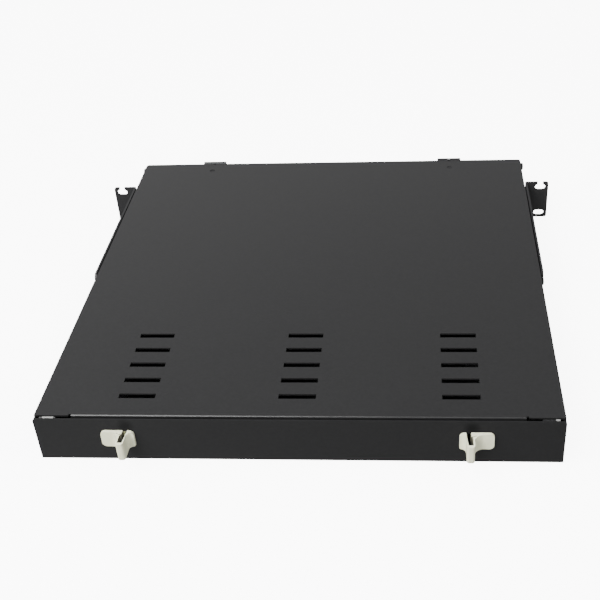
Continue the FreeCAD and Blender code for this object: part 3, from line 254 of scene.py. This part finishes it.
def latch_nylon():
    """Ivory nylon, with painted shade on the upright faces inside the hairpin's slit."""
    ivory, painted_shade = (0.85, 0.855, 0.63), (0.11, 0.105, 0.075)
    finish = moulded("natural_nylon", ivory, low=0.34, high=0.46, grain=1400.0, depth=0.02 * MM, glow=0.12)
    across, along, _ = finish.axes(finish.place)
    slope = finish.axes(finish.coordinates("Normal"))["Z"]
    slit_width = (finish.math("ABSOLUTE", across), 139.55 * MM, 2.45 * MM)
    slit_length = (along, REAR_WALL - 8.0 * MM, 8.4 * MM)
    upright = (slope, 0.0, 0.6)
    # Painted shade: the slit's upright faces are darkened where little light reaches them.
    finish.patch(finish.inside(slit_width, slit_length, upright), painted_shade)
    return finish


def adapter_blue():
    return moulded("blue_plastic", (0.012, 0.10, 0.42), low=0.32, high=0.44, grain=1800.0, depth=0.02 * MM)


def cap_white():
    white = (0.70, 0.70, 0.67)
    return moulded("soft_white_plastic", white, low=0.38, high=0.50, grain=1600.0, depth=0.02 * MM, glow=0.15)


def tray_plastic():
    return moulded("grey_plastic", (0.52, 0.53, 0.53), low=0.34, high=0.46, grain=1500.0, depth=0.03 * MM)


def spool_plastic():
    return moulded("black_plastic", (0.022, 0.022, 0.023), low=0.36, high=0.48, grain=1500.0, depth=0.03 * MM)


def clear_plastic():
    """Clear sheet with faint hairline scratches."""
    finish = Finish("clear_sheet", (0.92, 0.95, 0.95), 0.08)
    finish.set("Transmission Weight", 0.92)
    finish.set("IOR", 1.49)
    scratches = finish.noise(160.0, 6.0, finish.stretched((1.0, 30.0, 1.0)))
    finish.roughen(scratches, low=0.04, high=0.16)
    finish.mottle(finish.noise(30.0, 3.0), (0.88, 0.92, 0.92), (0.96, 0.98, 0.98))
    return finish


def rubber(name, colour):
    finish = Finish(name, colour, 0.7)
    finish.mottle(finish.noise(260.0, 5.0), tone(colour, 0.8), tone(colour, 1.25))
    finish.roughen(finish.noise(90.0, 4.0), low=0.58, high=0.78)
    finish.bump(finish.noise(1900.0, 3.0), 0.04 * MM, 0.6)
    finish.set("Specular IOR Level", 0.35)
    return finish


def grommet_rubber():
    return rubber("grommet_rubber", (0.020, 0.020, 0.020))


def holder_rubber():
    return rubber("holder_rubber", (0.055, 0.055, 0.060))


def plated(name, colour, low, high, grain):
    """Plated or drawn metal: cloudy patches, and lines from a noise with each axis scaled by the grain."""
    finish = Finish(name, colour, high, metallic=1.0)
    finish.mottle(finish.noise(70.0, 5.0), tone(colour, 0.86), tone(colour, 1.06))
    lines = finish.noise(300.0, 4.0, finish.stretched(grain))
    finish.roughen(lines, low, high)
    finish.bump(lines, 0.01 * MM, 0.4)
    return finish


def spring_steel():
    return plated("spring_steel", (0.56, 0.56, 0.55), low=0.18, high=0.34, grain=(1.0, 0.05, 1.0))


def zinc_sheet():
    return plated("zinc_sheet", (0.50, 0.51, 0.53), low=0.26, high=0.44, grain=(1.0, 0.08, 1.0))


def zinc_screw():
    return plated("zinc_screw", (0.58, 0.58, 0.56), low=0.22, high=0.36, grain=(1.0, 1.0, 0.2))


def brass():
    return plated("turned_brass", (0.66, 0.47, 0.18), low=0.18, high=0.34, grain=(0.3, 0.3, 4.0))


# Each is named after the material slot that it fills.
FINISHES = (
    case_black, cover_black, bracket_black, hinge_black, black_rivet, black_screw, latch_nylon, adapter_blue,
    cap_white, tray_plastic, spool_plastic, clear_plastic, grommet_rubber, holder_rubber, spring_steel,
    zinc_sheet, zinc_screw, brass,
)


def paint():
    """Every CAD node takes the finish of its material slot."""
    made = {maker.__name__: maker().material for maker in FINISHES}
    for node, piece in frame["nodes"].items():
        piece.data.materials.clear()
        piece.data.materials.append(made[RECORD_SLOTS[node]])


def quieten_latches():
    """The pale latches stay out of what the black coat reflects."""
    for side in ("left", "right"):
        frame["nodes"][f"cover_latch_{side}"].visible_glossy = False


# ---- edges ----------------------------------------------------------------------------------------------

SHARP_ANGLE = math.radians(35)
EDGE_WIDTHS_MM = {
    "chassis_tray": 0.35, "top_cover": 0.35, "front_panel": 0.3, "rack_bracket_left": 0.3,
    "rack_bracket_right": 0.3, "cover_latch_left": 0.45, "cover_latch_right": 0.45,
    "hinge_case_leaf_left": 0.2, "hinge_case_leaf_right": 0.2, "hinge_cover_leaf_left": 0.2,
    "hinge_cover_leaf_right": 0.2,
}


def soften_edges():
    """Small rounds on the sharp edges, as the coat and the moulding leave them."""
    for node, width in EDGE_WIDTHS_MM.items():
        bevel = frame["nodes"][node].modifiers.new("soft_edges", "BEVEL")
        bevel.width = width * MM
        bevel.segments = 2
        bevel.limit_method = "ANGLE"
        bevel.angle_limit = SHARP_ANGLE


# ---- camera, lights and floor ---------------------------------------------------------------------------

def set_camera():
    """The photograph's view: from above the rear wall, a little to the right."""
    right, behind, above = 0.0989, 0.6144, 0.5899
    pitch, roll, yaw = 55.166, 2.967, 3.856
    data = bpy.data.cameras.new("camera")
    camera = bpy.data.objects.new("camera", data)
    bpy.context.collection.objects.link(camera)
    camera.location = (right, REAR_WALL - behind, above)
    camera.rotation_euler = tuple(math.radians(turn) for turn in (pitch, roll, yaw))
    data.sensor_width = 36.0
    data.lens = 61.858
    data.shift_x = -0.050
    data.clip_start = 0.02
    data.clip_end = 30.0
    bpy.context.scene.camera = camera


def lamp(name, place, target, width, height, power):
    """A soft rectangular studio light aimed at a point."""
    data = bpy.data.lights.new(name, "AREA")
    data.shape = "RECTANGLE"
    data.size = width
    data.size_y = height
    data.energy = power
    light = bpy.data.objects.new(name, data)
    bpy.context.collection.objects.link(light)
    light.location = place
    light.rotation_euler = (Vector(target) - Vector(place)).to_track_quat("-Z", "Y").to_euler()


def set_lights():
    lamp("overhead_left", (-2.3, -1.3, 3.0), (-0.4, -0.4, 0.0), width=3.6, height=3.4, power=300.0)
    lamp("overhead_right", (3.0, -0.6, 3.0), (0.3, -0.2, 0.0), width=3.2, height=3.4, power=120.0)
    lamp("behind", (-1.1, -2.5, 2.0), (0.0, -0.22, 0.02), width=1.2, height=1.2, power=80.0)


def set_world():
    """Studio surroundings: brightest low down and on the left, darker overhead and on the right."""
    world = bpy.data.worlds.new("studio")
    bpy.context.scene.world = world
    world.use_nodes = True
    sky = Graph(world.node_tree)
    background = sky.nodes["Background"]
    background.inputs["Color"].default_value = (1.0, 1.0, 1.0, 1.0)
    direction = sky.axes(sky.coordinates("Generated"))
    upper = sky.spread(direction["Z"], 0.76, 0.30, start=0.40, end=0.72)
    lower = sky.spread(direction["Z"], 1.1, 1.0, start=-0.25, end=0.15)
    sideways = sky.spread(direction["X"], 1.0, 0.56, start=-0.40, end=0.20)
    strength = sky.math("MULTIPLY", sky.math("MULTIPLY", upper, lower), sideways)
    sky.links.new(strength, background.inputs["Strength"])


def set_floor():
    """A wide pale floor that glows, a little uneven in tone, and stays out of what the pieces reflect."""
    half = 30.0
    gap = 0.2 * MM
    mesh = bpy.data.meshes.new("floor")
    level = cad_box[0][2] - gap
    corners = [(-half, -half, level), (half, -half, level), (half, half, level), (-half, half, level)]
    mesh.from_pydata(corners, [], [(0, 1, 2, 3)])
    floor = bpy.data.objects.new("floor", mesh)
    bpy.context.collection.objects.link(floor)
    finish = Finish("floor_paint", (0.93, 0.93, 0.93), 0.9)
    finish.mottle(finish.noise(3.0, 2.0), (0.93, 0.93, 0.93), (0.95, 0.95, 0.95))
    finish.set("Specular IOR Level", 0.2)
    finish.set("Emission Color", (1.0, 1.0, 1.0, 1.0))
    finish.set("Emission Strength", 8.0)
    mesh.materials.append(finish.material)
    floor.visible_diffuse = False
    floor.visible_glossy = False


paint()
soften_edges()
quieten_latches()
set_camera()
set_world()
set_lights()
set_floor()
